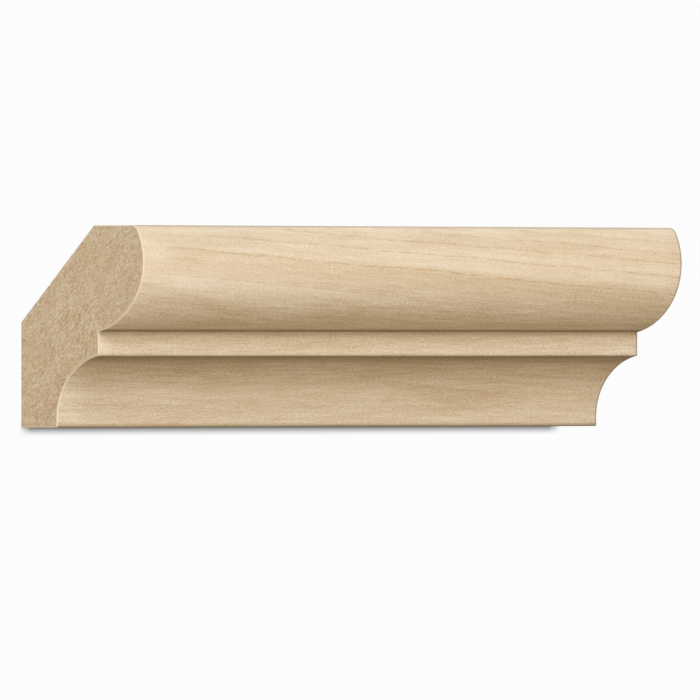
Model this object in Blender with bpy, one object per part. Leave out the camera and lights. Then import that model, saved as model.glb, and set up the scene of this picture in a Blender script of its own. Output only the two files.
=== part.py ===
"""A sample length of crown moulding: a fibreboard core with maple veneer wrapped over its face.

The moulding runs along X. Its wall face lies in the plane Y = 0 and the room is towards -Y, with +Z up.
The origin is the middle of the wall face. A point of the section is (depth, height): depth is measured
from the wall into the room, and height from the underside.
"""

import math

import bmesh
import bpy
from mathutils import Vector

# Driving dimensions, in metres
LENGTH = 0.305
FOOT_DEPTH = 0.01425
FOOT_HEIGHT = 0.003
COVE_RADIUS = 0.0205
COVE_RUN = 0.01635
FILLET_HEIGHT = 0.0077
OVOLO_OVERHANG = 0.0177
OVOLO_RADIUS = 0.0232
OVOLO_RISE = 0.0117
NOSE_RADIUS = 0.003
TOP_LAND = 0.0164
WALL_FACE_TOP = 0.0339
BACK_EASE = 0.001
FOOT_EASE = 0.0005
VENEER = 0.0006
GLUE_LINE = 0.0003

# A curve is drawn with a facet for each of these angles, and an eased corner is never sharper than this
ARC_STEP = math.radians(2)
SHARPEST = 0.0002

# Depths and heights that follow from them: the foot carries the cove, the cove the fillet, and the fillet the ovolo
COVE_CENTRE = Vector((FOOT_DEPTH + COVE_RADIUS, FOOT_HEIGHT))
FILLET_DEPTH = FOOT_DEPTH + COVE_RUN
FILLET_BOTTOM = FOOT_HEIGHT + math.sqrt(COVE_RADIUS**2 - (COVE_RADIUS - COVE_RUN) ** 2)
FILLET_TOP = FILLET_BOTTOM + FILLET_HEIGHT
OVOLO_CENTRE = Vector(
    (
        FILLET_DEPTH + OVOLO_OVERHANG - OVOLO_RADIUS,
        FILLET_TOP + math.sqrt(OVOLO_RADIUS**2 - (OVOLO_RADIUS - OVOLO_OVERHANG) ** 2),
    )
)
HEIGHT = OVOLO_CENTRE.y + OVOLO_RISE
TOP_CORNER_DEPTH = OVOLO_CENTRE.x + math.sqrt(OVOLO_RADIUS**2 - OVOLO_RISE**2) - TOP_LAND
CHAMFER = Vector((TOP_CORNER_DEPTH, HEIGHT - WALL_FACE_TOP))
WALL_FACE_MIDDLE = (WALL_FACE_TOP + VENEER + GLUE_LINE) / 2

# Colours are linear RGB
FIBREBOARD_COLOUR = (0.46, 0.35, 0.22, 1.0)
MAPLE_COLOUR = (0.72, 0.56, 0.37, 1.0)


def arc(centre, radius, start, end):
    """Points along an arc, both ends included, with angles counted from the room side towards the ceiling."""
    steps = max(3, math.ceil(abs(end - start) / ARC_STEP))
    angles = [start + (end - start) * i / steps for i in range(steps + 1)]
    return [centre + radius * Vector((math.cos(a), math.sin(a))) for a in angles]


def eased_corner(before, corner, after, radius):
    """Points of a rounded corner between two straight edges, from the edge before it to the edge after it."""
    back = (before - corner).normalized()
    ahead = (after - corner).normalized()
    half = back.angle(ahead) / 2
    centre = corner + (back + ahead).normalized() * radius / math.sin(half)
    first = corner + back * radius / math.tan(half) - centre
    last = corner + ahead * radius / math.tan(half) - centre
    start = math.atan2(first.y, first.x)
    turn = math.atan2(first.x * last.y - first.y * last.x, first.dot(last))
    return arc(centre, radius, start, start + turn)


def chamfer_point(height):
    """The point of the chamfered back at a height."""
    return Vector((0, WALL_FACE_TOP)) + CHAMFER * (height - WALL_FACE_TOP) / CHAMFER.y


def nose_and_ovolo(inset):
    """The rounded nose under the ceiling and the ovolo, down to the fillet, at a distance inside the finished face."""
    ovolo = OVOLO_RADIUS - inset
    nose = max(NOSE_RADIUS - inset, SHARPEST)
    rise = OVOLO_RISE - inset - nose
    nose_centre = OVOLO_CENTRE + Vector((math.sqrt((ovolo - nose) ** 2 - rise**2), rise))
    meet = math.atan2(rise, nose_centre.x - OVOLO_CENTRE.x)
    under = -math.acos((FILLET_DEPTH - inset - OVOLO_CENTRE.x) / ovolo)
    return arc(nose_centre, nose, math.pi / 2, meet)[:-1] + arc(OVOLO_CENTRE, ovolo, meet, under)


def cove_and_foot(inset):
    """The cove from the fillet down to the foot, and the foot's eased corner."""
    cove = COVE_RADIUS + inset
    top = math.acos((FILLET_DEPTH - inset - COVE_CENTRE.x) / cove)
    curve = arc(COVE_CENTRE, cove, top, math.pi)
    corner = Vector((FOOT_DEPTH - inset, inset))
    ease = max(FOOT_EASE - inset, SHARPEST)
    return curve + eased_corner(curve[-1], corner, Vector((0, inset)), ease)


def veneer_section():
    """The veneer's outline: out along the finished face from the back to the wall, and back along its glued side."""
    top_corner = chamfer_point(HEIGHT)
    glued_top = chamfer_point(HEIGHT - VENEER)
    glued_foot = Vector((0, VENEER))
    face = nose_and_ovolo(0) + cove_and_foot(0)
    glued = nose_and_ovolo(VENEER) + cove_and_foot(VENEER)
    top_end = eased_corner(glued_top, top_corner, face[0], BACK_EASE)
    foot_end = eased_corner(face[-1], Vector((0, 0)), glued_foot, min(FOOT_EASE, 0.8 * VENEER))
    return top_end + face + foot_end + [glued_foot] + glued[::-1] + [glued_top]


def core_section():
    """The core's outline: its face one glue line behind the veneer, then up the wall face and along the chamfer."""
    inset = VENEER + GLUE_LINE
    face = nose_and_ovolo(inset) + cove_and_foot(inset)
    return [chamfer_point(HEIGHT - inset)] + face + [Vector((0, inset)), Vector((0, WALL_FACE_TOP))]


def principled(name, colour, roughness):
    """A plain material of one colour."""
    material = bpy.data.materials.new(name)
    material.use_nodes = True
    shader = material.node_tree.nodes["Principled BSDF"]
    shader.inputs["Base Color"].default_value = colour
    shader.inputs["Roughness"].default_value = roughness
    shader.inputs["Metallic"].default_value = 0.0
    return material


def run_of_moulding(name, section, material, collection, parent):
    """A section drawn as a filled flat curve, run out to the moulding's length and made a smooth-shaded mesh."""
    outline = bpy.data.curves.new(name + "_section", "CURVE")
    outline.dimensions = "2D"
    outline.fill_mode = "BOTH"
    outline.extrude = LENGTH / 2
    spline = outline.splines.new("POLY")
    spline.points.add(len(section) - 1)
    for point, place in zip(spline.points, section):
        point.co = (place.x, place.y, 0.0, 1.0)
    spline.use_cyclic_u = True

    drawn = bpy.data.objects.new(name + "_section", outline)
    collection.objects.link(drawn)
    drawn.rotation_euler = (math.pi / 2, 0.0, -math.pi / 2)
    drawn.location = (0.0, 0.0, -WALL_FACE_MIDDLE)
    bpy.context.view_layer.update()

    evaluated = drawn.evaluated_get(bpy.context.evaluated_depsgraph_get())
    mesh = bpy.data.meshes.new_from_object(evaluated)
    mesh.name = name
    solid = bmesh.new()
    solid.from_mesh(mesh)
    bmesh.ops.remove_doubles(solid, verts=solid.verts, dist=1e-7)
    bmesh.ops.recalc_face_normals(solid, faces=solid.faces)
    solid.to_mesh(mesh)
    solid.free()
    mesh.shade_smooth()
    mesh.set_sharp_from_angle(angle=math.radians(20))
    mesh.materials.clear()
    mesh.materials.append(material)

    piece = bpy.data.objects.new(name, mesh)
    piece.matrix_world = drawn.matrix_world
    piece.parent = parent
    collection.objects.link(piece)
    bpy.data.objects.remove(drawn)
    bpy.data.curves.remove(outline)
    return piece


def main():
    for old in list(bpy.data.objects):
        bpy.data.objects.remove(old)
    collection = bpy.data.collections.new("crown_moulding")
    bpy.context.scene.collection.children.link(collection)
    wall_face = bpy.data.objects.new("wall_face_middle", None)
    wall_face.empty_display_size = 0.02
    collection.objects.link(wall_face)

    fibreboard = principled("fibreboard", FIBREBOARD_COLOUR, 0.9)
    maple = principled("maple_veneer", MAPLE_COLOUR, 0.5)
    run_of_moulding("fibreboard_core", core_section(), fibreboard, collection, wall_face)
    run_of_moulding("maple_veneer", veneer_section(), maple, collection, wall_face)


main()
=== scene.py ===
import math

import bpy
import numpy as np
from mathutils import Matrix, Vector


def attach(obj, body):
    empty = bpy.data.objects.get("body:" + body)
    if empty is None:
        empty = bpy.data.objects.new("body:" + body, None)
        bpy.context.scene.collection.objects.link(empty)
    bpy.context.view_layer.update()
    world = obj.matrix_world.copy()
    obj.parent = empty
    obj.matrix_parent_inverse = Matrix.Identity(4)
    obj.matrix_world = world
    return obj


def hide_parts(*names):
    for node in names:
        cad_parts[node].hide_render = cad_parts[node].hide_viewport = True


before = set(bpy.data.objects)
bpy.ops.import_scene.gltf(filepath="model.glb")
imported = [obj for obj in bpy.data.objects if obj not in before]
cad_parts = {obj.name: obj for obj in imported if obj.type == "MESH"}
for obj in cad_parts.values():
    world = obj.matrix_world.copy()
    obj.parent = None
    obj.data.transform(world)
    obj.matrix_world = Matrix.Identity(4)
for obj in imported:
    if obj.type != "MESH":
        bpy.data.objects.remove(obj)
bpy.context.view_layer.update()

# Moulded core: a straight length of medium-density fibreboard, run through a moulder to the crown's section
# and sawn square at both ends. The veneer is glued round its moulded face, and its back, chamfer and two ends
# stay bare.

# Lengths are millimetres, and a point of the section is (depth out from the wall, height above the underside)
LENGTH = 305.0
FOOT_DEPTH, FOOT_HEIGHT = 14.25, 3.0
COVE_RADIUS, COVE_RUN = 20.5, 16.35
FILLET_HEIGHT = 7.7
OVOLO_RADIUS, OVOLO_OVERHANG, OVOLO_RISE = 23.2, 17.7, 11.7
NOSE_RADIUS = 3.0
TOP_LAND = 16.4
WALL_FACE_TOP = 33.9
SHEET = 0.6
WALL_FACE_MIDDLE = 17.4
FOOT_EASE, FILLET_EASE, QUIRK_EASE = 0.5, 0.4, 0.2
BARE_ARRIS = 0.22
GLUE_LINE = 0.02

# Steps along each part of the moulded face, across a cut end from its back to its face, round the rim's arris
# and along the length between the two arrises
NOSE_STEPS, OVOLO_STEPS, QUIRK_STEPS, FILLET_STEPS = 16, 100, 5, 18
ARRIS_STEPS, COVE_STEPS, FOOT_STEPS = 8, 70, 8
CUT_END_STEPS, CORE_TURN_STEPS, CORE_RINGS = 100, 5, 10

# The saw leaves matted fibres standing: how deep the texture goes, and the spread of its waves
SAW_DEPTH, SAW_FADE, SAW_LIMIT = 0.018, 0.3, 1.5
FIBRE_WAVES, SHORTEST_WAVE, LONGEST_WAVE, WAVE_SPREAD = 60, 0.7, 2.6, 0.45
NEAR_END_SEED, FAR_END_SEED = 5, 6

cove_centre = np.array([FOOT_DEPTH + COVE_RADIUS, FOOT_HEIGHT])
fillet_depth = FOOT_DEPTH + COVE_RUN
fillet_bottom = FOOT_HEIGHT + math.sqrt(COVE_RADIUS**2 - (COVE_RADIUS - COVE_RUN) ** 2)
ovolo_drop = math.sqrt(OVOLO_RADIUS**2 - (OVOLO_RADIUS - OVOLO_OVERHANG) ** 2)
ovolo_centre = np.array(
    [fillet_depth + OVOLO_OVERHANG - OVOLO_RADIUS, fillet_bottom + FILLET_HEIGHT + ovolo_drop]
)
section_height = ovolo_centre[1] + OVOLO_RISE
top_corner = ovolo_centre[0] + math.sqrt(OVOLO_RADIUS**2 - OVOLO_RISE**2) - TOP_LAND
chamfer_rise = section_height - WALL_FACE_TOP
chamfer_lean = math.atan2(chamfer_rise, top_corner)


def arc(centre, radius, start, end, count):
    """Points centre + radius (cos angle, sin angle) for evenly spread angles, the last of them left out."""
    angle = np.linspace(start, end, count, endpoint=False)
    return np.asarray(centre) + radius * np.stack([np.cos(angle), np.sin(angle)], 1)


def line(start, end, count):
    """Points start + share (end - start) for evenly spread shares, the last of them left out."""
    return np.asarray(start) + np.linspace(0, 1, count, endpoint=False)[:, None] * np.subtract(end, start)


def ease(radius, inset):
    """A sharp arris is eased by its radius at the finished face, and by a tenth of it at the glued face."""
    return radius * max(1 - inset / SHEET, 0.1)


def chamfered_back(height):
    """Depth of the bare back at a height: 0 up the wall face, then a share of the top corner's depth."""
    return np.maximum((height - WALL_FACE_TOP) * top_corner / chamfer_rise, 0)


def moulded_face(inset):
    """The face from the top land's front end to the underside, moved into the wood by the inset.

    Nose, ovolo and cove are circles about fixed centres, smaller or larger by the inset. Each joining circle
    is tangent to its two neighbours: its centre stands one ease off the fillet's line, at the sum of the
    radii from the circle beside it.
    """
    nose, ovolo, cove = NOSE_RADIUS - inset, OVOLO_RADIUS - inset, COVE_RADIUS + inset
    rise = OVOLO_RISE - NOSE_RADIUS
    nose_centre = ovolo_centre + [math.sqrt((ovolo - nose) ** 2 - rise**2), rise]
    meet = math.atan2(rise, nose_centre[0] - ovolo_centre[0])
    face = fillet_depth - inset
    quirk, arris, foot = QUIRK_EASE + inset, ease(FILLET_EASE, inset), ease(FOOT_EASE, inset)
    out = face + quirk - ovolo_centre[0]
    quirk_centre = ovolo_centre + [out, -math.sqrt((ovolo + quirk) ** 2 - out**2)]
    under = math.atan2(quirk_centre[1] - ovolo_centre[1], out)
    back = face - arris - cove_centre[0]
    arris_centre = cove_centre + [back, math.sqrt((cove + arris) ** 2 - back**2)]
    brow = math.atan2(arris_centre[1] - cove_centre[1], back)
    foot_centre = np.array([FOOT_DEPTH - inset - foot, inset + foot])
    return np.concatenate(
        [
            arc(nose_centre, nose, math.pi / 2, meet, NOSE_STEPS),
            arc(ovolo_centre, ovolo, meet, under, OVOLO_STEPS),
            arc(quirk_centre, quirk, under + math.pi, math.pi, QUIRK_STEPS),
            line([face, quirk_centre[1]], [face, arris_centre[1]], FILLET_STEPS),
            arc(arris_centre, arris, 0, brow - math.pi, ARRIS_STEPS),
            arc(cove_centre, cove, brow, math.pi, COVE_STEPS),
            line([FOOT_DEPTH - inset, FOOT_HEIGHT], [FOOT_DEPTH - inset, foot_centre[1]], FOOT_STEPS),
            arc(foot_centre, foot, 0, -math.pi / 2, FOOT_STEPS),
            [foot_centre - [0, foot]],
        ]
    )


def in_room(along, section):
    """Section points at a place along the moulding, in metres: depth runs towards -Y and height up Z."""
    depth, height = section[..., 0], section[..., 1]
    return np.stack([np.broadcast_to(along, depth.shape), -depth, height - WALL_FACE_MIDDLE], -1) / 1000


def rounded_ends(arris, turn, between):
    """Places along the moulding, and how far the face is drawn in at each, with a rounded arris at both ends.

    At an angle of the turn, the place is arris (1 - cos angle) from the end, and the face is drawn in by
    arris (1 - sin angle).
    """
    in_from_end, drawn_in = arris * (1 - np.cos(turn)), arris * (1 - np.sin(turn))
    middle = np.linspace(-LENGTH / 2, LENGTH / 2, between + 2)[1:-1]
    places = np.concatenate([in_from_end - LENGTH / 2, middle, LENGTH / 2 - in_from_end[::-1]])
    return places, np.concatenate([drawn_in, np.zeros(between), drawn_in[::-1]])


def cells(index):
    """The four-cornered faces between neighbouring rows and columns of a grid of point numbers."""
    return np.stack([index[:-1, :-1], index[:-1, 1:], index[1:, 1:], index[1:, :-1]], -1).reshape(-1, 4)


def solid(name, points, faces):
    """A closed smooth-shaded mesh of the given points and faces, with edges past 35 degrees left sharp."""
    mesh = bpy.data.meshes.new(name)
    mesh.from_pydata(points.reshape(-1, 3).tolist(), [], np.concatenate(faces).tolist())
    mesh.shade_smooth()
    mesh.set_sharp_from_angle(angle=math.radians(35))
    piece = bpy.data.objects.new(name, mesh)
    bpy.context.scene.collection.objects.link(piece)
    return piece


def sawn(end, seed):
    """Depth of the saw's texture at each point of a cut end, fading to nothing at the end's rim.

    Matted fibres are a sum of cosine waves of seeded length, lean and phase, most of them crossing the
    chamfer's direction. The fade is a power of 4 share (1 - share), for the share of the way from the back
    to the face.
    """
    chance = np.random.default_rng(seed)
    lean = chamfer_lean + chance.normal(0, WAVE_SPREAD, FIBRE_WAVES)
    pace = 2 * math.pi / chance.uniform(SHORTEST_WAVE, LONGEST_WAVE, FIBRE_WAVES)
    phase = chance.uniform(0, 2 * math.pi, FIBRE_WAVES)
    crossing = np.multiply.outer(end[..., 1], np.cos(lean)) - np.multiply.outer(end[..., 0], np.sin(lean))
    fibres = np.cos(pace * crossing + phase).sum(-1) / math.sqrt(FIBRE_WAVES / 2)
    inside = 4 * share[..., 0] * (1 - share[..., 0])
    return SAW_DEPTH * inside**SAW_FADE * (SAW_LIMIT + np.clip(fibres, -SAW_LIMIT, SAW_LIMIT))


# A cut end is a grid: each row runs from the bare back to the moulded face at one point of the face
front = moulded_face(SHEET + GLUE_LINE)
back_height = front[:, 1].copy()
back_height[np.abs(back_height - WALL_FACE_TOP).argmin()] = WALL_FACE_TOP
back_face = np.stack([chamfered_back(back_height), back_height], 1)
off_chamfer, off_wall = [math.sin(chamfer_lean), -math.cos(chamfer_lean)], [1.0, 0.0]
away = np.where(back_height[:, None] > WALL_FACE_TOP, off_chamfer, off_wall)
eased_back = back_face + BARE_ARRIS * away
share = np.linspace(0, 1, CUT_END_STEPS + 1)[None, :, None]
cut_end = eased_back[:, None] + share * (front - eased_back)[:, None]
near_end = in_room(sawn(cut_end, NEAR_END_SEED) - LENGTH / 2, cut_end)
far_end = in_room(LENGTH / 2 - sawn(cut_end, FAR_END_SEED), cut_end)

# The rims of the two ends are joined by rings of points along the length, the first and last on the arrises
end_grid = np.arange(cut_end[..., 0].size).reshape(cut_end.shape[:2])
rim = np.concatenate([end_grid[0], end_grid[1:, -1], end_grid[-1, -2::-1], end_grid[-2:0:-1, 0]])
rim_row, rim_column = np.unravel_index(rim, end_grid.shape)
core_turn = np.linspace(0, math.pi / 2, CORE_TURN_STEPS + 1)[1:]
ring_places, ring_insets = rounded_ends(BARE_ARRIS, core_turn, CORE_RINGS)
bare = back_face[rim_row] + ring_insets[:, None, None] * away[rim_row]
run = in_room(ring_places[:, None], bare + share[0, rim_column][None] * (front[rim_row] - bare))
ring_numbers = 2 * end_grid.size + np.arange(run[..., 0].size).reshape(run.shape[:2])
rings = np.concatenate([rim[None], ring_numbers, rim[None] + end_grid.size])
rings = np.concatenate([rings, rings[:, :1]], 1)
core = solid(
    "moulded_core",
    np.concatenate([near_end.reshape(-1, 3), far_end.reshape(-1, 3), run.reshape(-1, 3)]),
    [cells(end_grid)[:, ::-1], cells(end_grid + end_grid.size), cells(rings)[:, ::-1]],
)


class Paint:
    """One socket in a material. Arithmetic on it adds Math nodes, and node() adds any other kind."""

    def __init__(self, tree, socket=None):
        self.tree, self.socket = tree, socket

    def node(self, kind, settings=None, sockets=None, output=0):
        """Makes a node, sets it, gives each socket its value or link, and returns one of its outputs."""
        made = self.tree.nodes.new(kind)
        for name, value in (settings or {}).items():
            if name == "stops":
                ramp = made.color_ramp
                while len(ramp.elements) < len(value):
                    ramp.elements.new(1.0)
                for stop, (place, colour) in zip(ramp.elements, value):
                    stop.position, stop.color = place, (*colour, 1)
            else:
                setattr(made, name, value)
        for name, value in (sockets or {}).items():
            if isinstance(value, Paint):
                self.tree.links.new(value.socket, made.inputs[name])
            else:
                made.inputs[name].default_value = value
        return Paint(self.tree, made.outputs[output])

    def maths(self, operation, *values):
        """A Math node of one operation on these values."""
        return self.node("ShaderNodeMath", {"operation": operation}, dict(enumerate(values)))

    def __add__(self, other):
        return self.maths("ADD", self, other)

    def __sub__(self, other):
        return self.maths("SUBTRACT", self, other)

    def __rsub__(self, other):
        return self.maths("SUBTRACT", other, self)

    def __mul__(self, other):
        return self.maths("MULTIPLY", self, other)

    def __truediv__(self, other):
        return self.maths("DIVIDE", self, other)

    def __pow__(self, other):
        return self.maths("POWER", self, other)

    __radd__ = __add__
    __rmul__ = __mul__

    def within(self, low, high):
        """How far the value has risen from low to high, kept from 0 to 1."""
        return self.node("ShaderNodeMapRange", {}, {"Value": self, "From Min": low, "From Max": high})

    def coordinate(self, axis):
        """One coordinate of this place, by its axis 0, 1 or 2."""
        return self.node("ShaderNodeSeparateXYZ", {}, {0: self}, axis)

    def along(self, direction):
        """How far this place lies along a direction."""
        settings = {"operation": "DOT_PRODUCT"}
        return self.node("ShaderNodeVectorMath", settings, {0: self, 1: direction}, "Value")

    def ramp(self, stops):
        """The colour at this value, from stops of a place and a colour."""
        return self.node("ShaderNodeValToRGB", {"stops": stops}, {0: self})

    def tint(self, colour, share, blend="MIX"):
        """This colour with a share of another over it, by a Mix's colour sockets 0, 6 and 7 and output 2."""
        over = colour if isinstance(colour, Paint) else (*colour, 1)
        settings = {"data_type": "RGBA", "blend_type": blend}
        return self.node("ShaderNodeMix", settings, {0: share, 6: self, 7: over}, 2)

    def cloud(self, size, detail=1.0, start=0.0):
        """Soft noise from -0.5 to 0.5, of the given blotch size along each axis, from a start of its own."""
        moved = {"Vector": self, "Location": (start,) * 3, "Scale": tuple(1 / length for length in size)}
        place = self.node("ShaderNodeMapping", {}, moved)
        noise = self.node("ShaderNodeTexNoise", {}, {"Vector": place, "Scale": 1.0, "Detail": detail})
        return noise - 0.5


def finish(piece, name):
    """A new material on a piece: its starting Paint and its shader."""
    material = bpy.data.materials.new(name)
    material.use_nodes = True
    piece.data.materials.append(material)
    tree = material.node_tree
    return Paint(tree), tree.nodes["Principled BSDF"]


def join(paint, shader, name):
    """Links a Paint to one of a shader's sockets."""
    paint.tree.links.new(paint.socket, shader.inputs[name])


# Short matted fibres lie along the chamfer's direction, and the board is a little paler towards the ceiling.
# Sizes here are metres.
BOARD_DARK, BOARD_MIDDLE, BOARD_PALE = (0.319, 0.197, 0.096), (0.462, 0.352, 0.228), (0.605, 0.507, 0.36)
BOARD_WARM = (0.495, 0.335, 0.185)

board, board_shader = finish(core, "sawn_fibreboard")
board_place = board.node("ShaderNodeTexCoord", output="Object")
up_chamfer = board_place.along((0.0, -math.cos(chamfer_lean), math.sin(chamfer_lean)))
through_chamfer = board_place.along((0.0, math.sin(chamfer_lean), math.cos(chamfer_lean)))
lengthwise = board_place.coordinate(0)
matted = board.node("ShaderNodeCombineXYZ", {}, {0: up_chamfer, 1: through_chamfer, 2: lengthwise})
fibres = matted.cloud((0.0010, 0.00017, 0.001), 1.0, 3.0)
curled = matted.cloud((0.00020, 0.00020, 0.001), 1.0, 9.0)
blotch = matted.cloud((0.006, 0.004, 0.006), 2.0, 17.0)
paler_above = board_place.coordinate(2) * 1.4
tone = fibres * 2.4 + curled * 1.7 + blotch * 0.36 + paler_above + 0.5
warm = matted.cloud((0.006, 0.004, 0.006), 1.0, 41.0).within(-0.1, 0.2) * 0.3
matted_board = tone.ramp([(0.0, BOARD_DARK), (0.5, BOARD_MIDDLE), (1.0, BOARD_PALE)])
join(matted_board.tint(BOARD_WARM, warm), board_shader, "Base Color")
fibre_relief = {"Strength": 0.35, "Distance": 0.0001, "Height": fibres * 1.2 + curled}
join(board.node("ShaderNodeBump", {}, fibre_relief), board_shader, "Normal")
board_shader.inputs["Roughness"].default_value = 0.85
board_shader.inputs["Specular IOR Level"].default_value = 0.3

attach(core, "root")
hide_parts("fibreboard_core")

# Maple veneer: one sheet of plain-sliced maple, wrapped over the top land, nose, ovolo, fillet, cove, foot
# and underside and glued down. It is trimmed flush at the back and at both ends, where its cut edge shows as
# a thin line beside the near end's arris, which carries a painted highlight.
SHEET_ARRIS = 0.28
BACK_EASE, WALL_EASE = 1.0, 0.45
BACK_STEPS, TOP_STEPS, UNDERSIDE_STEPS, WALL_STEPS = 6, 30, 24, 6
SHEET_TURN_STEPS, SHEET_RINGS = 6, 20


def sheet_line(inset):
    """The sheet from its edge on the chamfer, over the face, to its edge on the wall, moved in by an inset.

    The edge on the chamfer is eased by a circle tangent to the chamfer and the top land, and the edge on the
    wall by one tangent to the underside and the wall.
    """
    back, wall = ease(BACK_EASE, inset), ease(WALL_EASE, inset)
    top = section_height - inset
    back_centre = np.array([chamfered_back(top) + back * math.tan(chamfer_lean / 2), top - back])
    wall_centre = np.array([wall, inset + wall])
    face = moulded_face(inset)
    return np.concatenate(
        [
            arc(back_centre, back, math.pi / 2 + chamfer_lean, math.pi / 2, BACK_STEPS),
            line(back_centre + [0, back], face[0], TOP_STEPS),
            face[:-1],
            line(face[-1], wall_centre - [0, wall], UNDERSIDE_STEPS),
            arc(wall_centre, wall, -math.pi / 2, -math.pi, WALL_STEPS),
            [wall_centre - [wall, 0]],
        ]
    )


# The finished side is one sheet line at each place along the length, and the glued side comes back behind it
sheet_turn = np.linspace(0, math.pi / 2, SHEET_TURN_STEPS + 1)
sheet_places, sheet_insets = rounded_ends(SHEET_ARRIS, sheet_turn, SHEET_RINGS)
outside = np.stack([sheet_line(inset) for inset in sheet_insets])
glued = np.broadcast_to(sheet_line(SHEET), outside.shape)
shell = in_room(sheet_places[:, None], np.concatenate([outside, glued[:, ::-1]], 1))
shell_grid = np.arange(shell[..., 0].size).reshape(shell.shape[:2])
around = outside.shape[1]
near_edge, far_edge = [
    np.stack([shell_grid[end, :around], shell_grid[end, : around - 1 : -1]]) for end in (0, -1)
]
loop = np.concatenate([shell_grid, shell_grid[:, :1]], 1)
veneer = solid("maple_sheet", shell, [cells(loop)[:, ::-1], cells(near_edge)[:, ::-1], cells(far_edge)])

# The UV map is the sheet laid flat, in millimetres: place along the moulding, and girth down from the chamfer
steps = np.hypot(*np.diff(sheet_line(0), axis=0).T)
girth = np.concatenate([[0], np.cumsum(steps)])
flat = np.stack(np.broadcast_arrays(sheet_places[:, None], np.concatenate([girth, girth[::-1]])), -1)
corner = np.empty(len(veneer.data.loops), int)
veneer.data.loops.foreach_get("vertex_index", corner)
veneer.data.uv_layers.new(name="sheet").data.foreach_set("uv", flat.reshape(-1, 2)[corner].ravel())
quirk_step = BACK_STEPS + TOP_STEPS + NOSE_STEPS + OVOLO_STEPS
quirk_at, fillet_at = girth[quirk_step], girth[quirk_step + QUIRK_STEPS + FILLET_STEPS]

maple, maple_shader = finish(veneer, "clear_coated_maple")
sheet = maple.node("ShaderNodeUVMap", {"uv_map": "sheet"})
length = sheet.coordinate(0)
down = sheet.coordinate(1)

# As far down as the fillet, the figure drifts down the sheet as it runs along it. It is deepest low on the
# ovolo and in the hollow of the cove.
FIGURE_DRIFT = 0.045
drift_down = (1 - down.within(46.0, 54.0)) * FIGURE_DRIFT
drifted = maple.node("ShaderNodeCombineXYZ", {}, {0: length, 1: down - length * drift_down})
deeper = down.within(34.0, 46.0) - down.within(quirk_at, quirk_at + 0.5) * 0.40
deeper = deeper + down.within(fillet_at, fillet_at + 1.0) * 0.65 - down.within(79.0, 86.0) * 0.75
bands = drifted.cloud((60.0, 5.0, 1.0), 1.0, 12.0) * 0.20 + drifted.cloud((26.0, 1.5, 1.0), 1.0, 23.0) * 0.24
grain = bands * (deeper + 1.0)

# Each growth line is a broken pencil line with a wash of tone below it. The columns are its place down the
# sheet at mid length, its drift, its first and last place along, and the strength of the line and of the
# wash, which pales the wood where it is negative. A line fades in and out over twice LINE_FADE.
LINE_SHARPNESS, LINE_FADE = -10.0, 9
WASH_STARTS, WASH_ENDS = (-1.3, 1.0), (3.5, 9.5)
GROWTH_LINES = [
    (14.7, 0.050, 60, 170, 0.16, 0.06),
    (18.1, 0.050, 0, 170, 0.18, 0.06),
    (21.4, 0.050, -82, 170, 0.22, -0.02),
    (25.6, 0.050, -115, 170, 0.26, 0.03),
    (31.2, 0.052, -135, 150, 0.30, 0.12),
    (40.2, 0.055, -140, 0, 0.24, -0.12),
    (45.2, 0.030, -40, 35, 0.22, 0.06),
    (81.4, 0.060, 35, 105, 0.22, 0.14),
    (83.0, 0.004, -160, -85, 0.10, -0.06),
    (91.4, 0.004, -160, -60, 0.14, -0.02),
]
wander = sheet.cloud((55.0, 9.0, 1.0), 1.0, 4.0) * 2.2 + sheet.cloud((12.0, 3.0, 1.0), 1.0, 8.0) * 0.5
broken = sheet.cloud((7.0, 1.4, 1.0), 1.0, 31.0).within(-0.22, 0.16)
for place_down, drift, first, last, thin, step in GROWTH_LINES:
    below = down - length * drift - place_down - wander
    begun, ended = [length.within(end - LINE_FADE, end + LINE_FADE) for end in (first, last)]
    pencil = maple.maths("EXPONENT", below * below * LINE_SHARPNESS) * broken * thin
    wash = below.within(*WASH_STARTS) * (1 - below.within(*WASH_ENDS)) * step
    grain = grain - (pencil + wash) * (begun * (1 - ended))

# Fine grain, from long threads down to short flecks
threads = drifted.cloud((20.0, 0.36, 1.0), 1.0, 37.0)
streaks = sheet.cloud((7.0, 0.32, 1.0), 1.0, 2.0)
flecks = sheet.cloud((3.0, 0.28, 1.0), 1.0, 7.0)
speckle = sheet.cloud((1.5, 0.25, 1.0), 0.0, 15.0)
grain = grain + (threads * 0.26 + streaks * 0.27 + flecks * 0.21 + speckle * 0.43) * (deeper + 1.0)
MAPLE = np.array([0.68, 0.55, 0.39])
MAPLE_DARK, MAPLE_PALE = MAPLE * (0.70, 0.575, 0.38), MAPLE * (1.30, 1.425, 1.62)
figured = (grain + 0.5).ramp([(0.0, MAPLE_DARK), (0.5, MAPLE), (1.0, MAPLE_PALE)])
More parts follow.
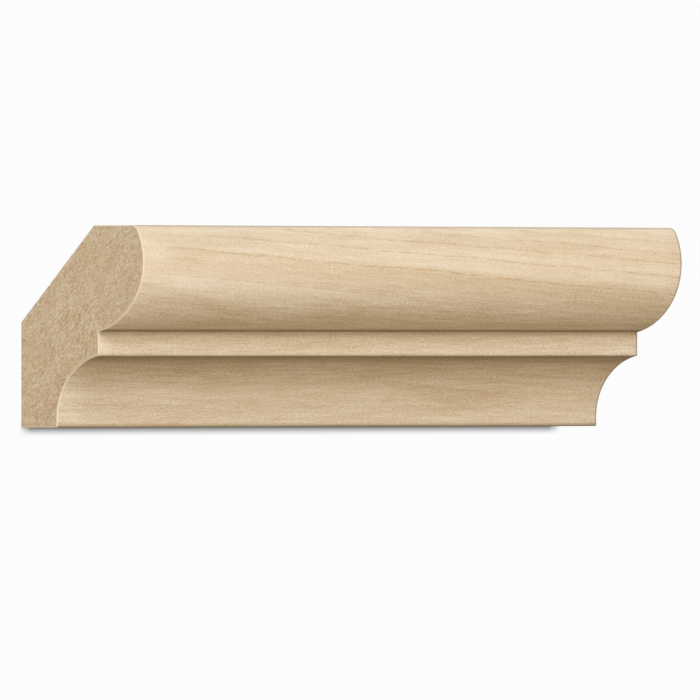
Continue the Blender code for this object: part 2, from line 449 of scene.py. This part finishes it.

# Painted shade and light by girth down the sheet, as the share of its red that the maple keeps: darker at
# the nose, in the quirk, under the fillet and at the foot's corner, a little lighter high on the ovolo. It
# stands for shade that the lamps don't give. These are as many stops as a ramp holds, over RAMP_GIRTH.
RAMP_GIRTH = 112
PAINTED_SHADE_STOPS = [
    (13.4, 1.00), (14.9, 0.58), (15.8, 0.66), (16.7, 1.02), (20.0, 0.96), (24.0, 1.00), (27.0, 1.06),
    (33.0, 1.10), (41.0, 1.07), (50.0, 1.04), (quirk_at - 3.0, 0.98), (quirk_at - 2.2, 0.69),
    (quirk_at - 1.3, 0.18), (quirk_at - 0.2, 0.92), (quirk_at + 0.3, 0.69), (quirk_at + 1.0, 0.82),
    (quirk_at + 2.0, 0.94), (quirk_at + 4.5, 1.00), (fillet_at - 0.6, 0.99), (fillet_at + 0.4, 0.75),
    (fillet_at + 1.5, 0.54), (fillet_at + 2.7, 0.56), (fillet_at + 3.6, 0.63), (fillet_at + 5.3, 0.74),
    (fillet_at + 8.5, 0.94), (81.0, 0.96), (88.0, 1.02), (92.0, 0.93), (96.8, 0.92), (97.6, 0.58),
    (98.3, 0.34), (99.5, 0.85),
]
# The painted shade and light is laid over the figured maple
painted_shade = (down / RAMP_GIRTH).ramp([(at / RAMP_GIRTH, (keep, keep**1.1, keep**1.35)) for at, keep in PAINTED_SHADE_STOPS])
maple_with_painted_shade = figured.tint(painted_shade, 1.0, "MULTIPLY")

# Painted shade darkens the far arris, and a painted highlight pales the near one. Its cut edge is duller
# again.
FAR_ARRIS_SHADE, NEAR_ARRIS_HIGHLIGHT, CUT_MAPLE = (0.22, 0.15, 0.09), (0.71, 0.63, 0.50), (0.52, 0.405, 0.27)
painted_far_shade = length.within(LENGTH / 2 - 1.1, LENGTH / 2 - 0.5) * 0.75
painted_near_highlight = (1 - length.within(-LENGTH / 2 + 0.2, -LENGTH / 2 + 0.6)) * 0.45
cut = (1 - length.within(-LENGTH / 2 + 0.01, -LENGTH / 2 + 0.05)) * 0.9
trimmed = maple_with_painted_shade.tint(FAR_ARRIS_SHADE, painted_far_shade).tint(NEAR_ARRIS_HIGHLIGHT, painted_near_highlight).tint(CUT_MAPLE, cut)
join(trimmed, maple_shader, "Base Color")
grain_relief = {"Strength": 0.25, "Distance": 0.00004, "Height": streaks + flecks}
join(maple.node("ShaderNodeBump", {}, grain_relief), maple_shader, "Normal")
maple_shader.inputs["Roughness"].default_value = 0.52
maple_shader.inputs["Specular IOR Level"].default_value = 0.25

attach(veneer, "root")
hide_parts("maple_veneer")

# Studio: a plain pale floor well below the moulding, a white wall just behind it that glows evenly and has
# the soft shadow under the foot drawn on it, two soft lamps from the left, one from behind and a pale room
# all round. Lengths from here on are metres.
FLOOR_SIDE, STAGE_BOTTOM = 6.0, -0.6
WALL_SIDE, WALL_TOP, WALL_GAP = 1.0, 1.0, 0.0004
WHITE = (0.975, 0.975, 0.975, 1)
FLOOR_GREY = (0.9, 0.9, 0.9, 1)
ROOM_LIGHT = (0.365, 0.30, 0.212, 1)
SHADOW_REACH, SHADOW_EDGE, SHADOW_FALLOFF, SHADOW_STRENGTH = 0.003, 0.0002, 1.7, 0.58
SHADOW_STARTS, SHADOW_ENDS = (-0.1530, -0.1466), (0.1460, 0.1530)
LAMP_SPREAD = math.radians(36)


def panel(name, corners):
    """A flat four-cornered panel of the stage."""
    mesh = bpy.data.meshes.new(name)
    mesh.from_pydata(corners, [], [(0, 1, 2, 3)])
    made = bpy.data.objects.new(name, mesh)
    bpy.context.scene.collection.objects.link(made)
    return made


def towards(bearing, lift):
    """Unit vector (cos lift sin bearing, -cos lift cos bearing, sin lift): bearing 0 is straight in front."""
    around, up = math.radians(bearing), math.radians(lift)
    return Vector((math.cos(up) * math.sin(around), -math.cos(up) * math.cos(around), math.sin(up)))


floor = panel(
    "floor",
    [(x * FLOOR_SIDE, y * FLOOR_SIDE, STAGE_BOTTOM) for x, y in [(-1, -1), (1, -1), (1, 1), (-1, 1)]],
)
floor_shader = finish(floor, "pale_floor")[1]
floor_shader.inputs["Base Color"].default_value = FLOOR_GREY
floor_shader.inputs["Roughness"].default_value = 0.8
floor.visible_diffuse = floor.visible_glossy = False

wall = panel(
    "wall",
    [
        (-WALL_SIDE, WALL_GAP, STAGE_BOTTOM),
        (WALL_SIDE, WALL_GAP, STAGE_BOTTOM),
        (WALL_SIDE, WALL_GAP, WALL_TOP),
        (-WALL_SIDE, WALL_GAP, WALL_TOP),
    ],
)
underside = -WALL_FACE_MIDDLE / 1000
plaster = finish(wall, "white_wall")[0]
wall_place = plaster.node("ShaderNodeTexCoord", output="Object")
rightward, upward = wall_place.coordinate(0), wall_place.coordinate(2)
near_foot = upward.within(underside - SHADOW_REACH, underside) ** SHADOW_FALLOFF * SHADOW_STRENGTH
under_foot = 1 - upward.within(underside, underside + SHADOW_EDGE)
shaded = near_foot * under_foot * rightward.within(*SHADOW_STARTS) * (1 - rightward.within(*SHADOW_ENDS))
glow = plaster.node("ShaderNodeEmission", {}, {"Color": WHITE, "Strength": (1 - shaded) ** 2.0})
from_behind = plaster.node("ShaderNodeNewGeometry", output="Backfacing")
clear = plaster.node("ShaderNodeBsdfTransparent")
one_sided = plaster.node("ShaderNodeMixShader", {}, {0: from_behind, 1: glow, 2: clear})
join(one_sided, plaster.tree.nodes["Material Output"], "Surface")
wall.visible_diffuse = wall.visible_glossy = wall.visible_shadow = wall.visible_transmission = False

for name, power, colour, bearing, lift in [
    ("level_lamp", 2.41, (1.0, 0.97, 0.90), -45, 5),
    ("raised_lamp", 2.70, (0.66, 0.79, 1.0), -45, 35),
    ("back_lamp", 2.2, (0.95, 0.97, 1.0), 150, 22),
]:
    light = bpy.data.lights.new(name, "SUN")
    light.energy = power
    light.color = colour
    light.angle = LAMP_SPREAD
    lamp = bpy.data.objects.new(name, light)
    lamp.rotation_euler = towards(bearing, lift).to_track_quat("Z", "Y").to_euler()
    bpy.context.scene.collection.objects.link(lamp)

# The camera sees a white room, and the moulding is lit by a warmer and dimmer one
world = bpy.data.worlds.new("pale_room")
world.use_nodes = True
bpy.context.scene.world = world
room = Paint(world.node_tree)
seen = room.node("ShaderNodeLightPath", output="Is Camera Ray")
backdrop = room.node("ShaderNodeMix", {"data_type": "RGBA"}, {0: seen, 6: ROOM_LIGHT, 7: WHITE}, 2)
join(backdrop, world.node_tree.nodes["Background"], "Color")

# Camera: a very long lens, level with the moulding and 55 degrees round from its face towards the left end.
# It stands back in step with its lens, so that the moulding always fills the same part of the frame.
LENS, SENSOR = 1700.0, 36.0
STAND_OFF = 0.2275
CAMERA_BEARING = -55
aim = Vector((0.01042, -0.01489, 0.00757))
camera = bpy.data.objects.new("camera", bpy.data.cameras.new("camera"))
camera.data.lens = LENS
camera.data.sensor_width = SENSOR
camera.location = aim + STAND_OFF * LENS / SENSOR * towards(CAMERA_BEARING, 0)
camera.rotation_euler = (math.pi / 2, 0.0, math.radians(CAMERA_BEARING))
camera.data.clip_start, camera.data.clip_end = 0.5, 40.0
bpy.context.scene.collection.objects.link(camera)
bpy.context.scene.camera = camera
bpy.context.scene.view_settings.view_transform = "Standard"
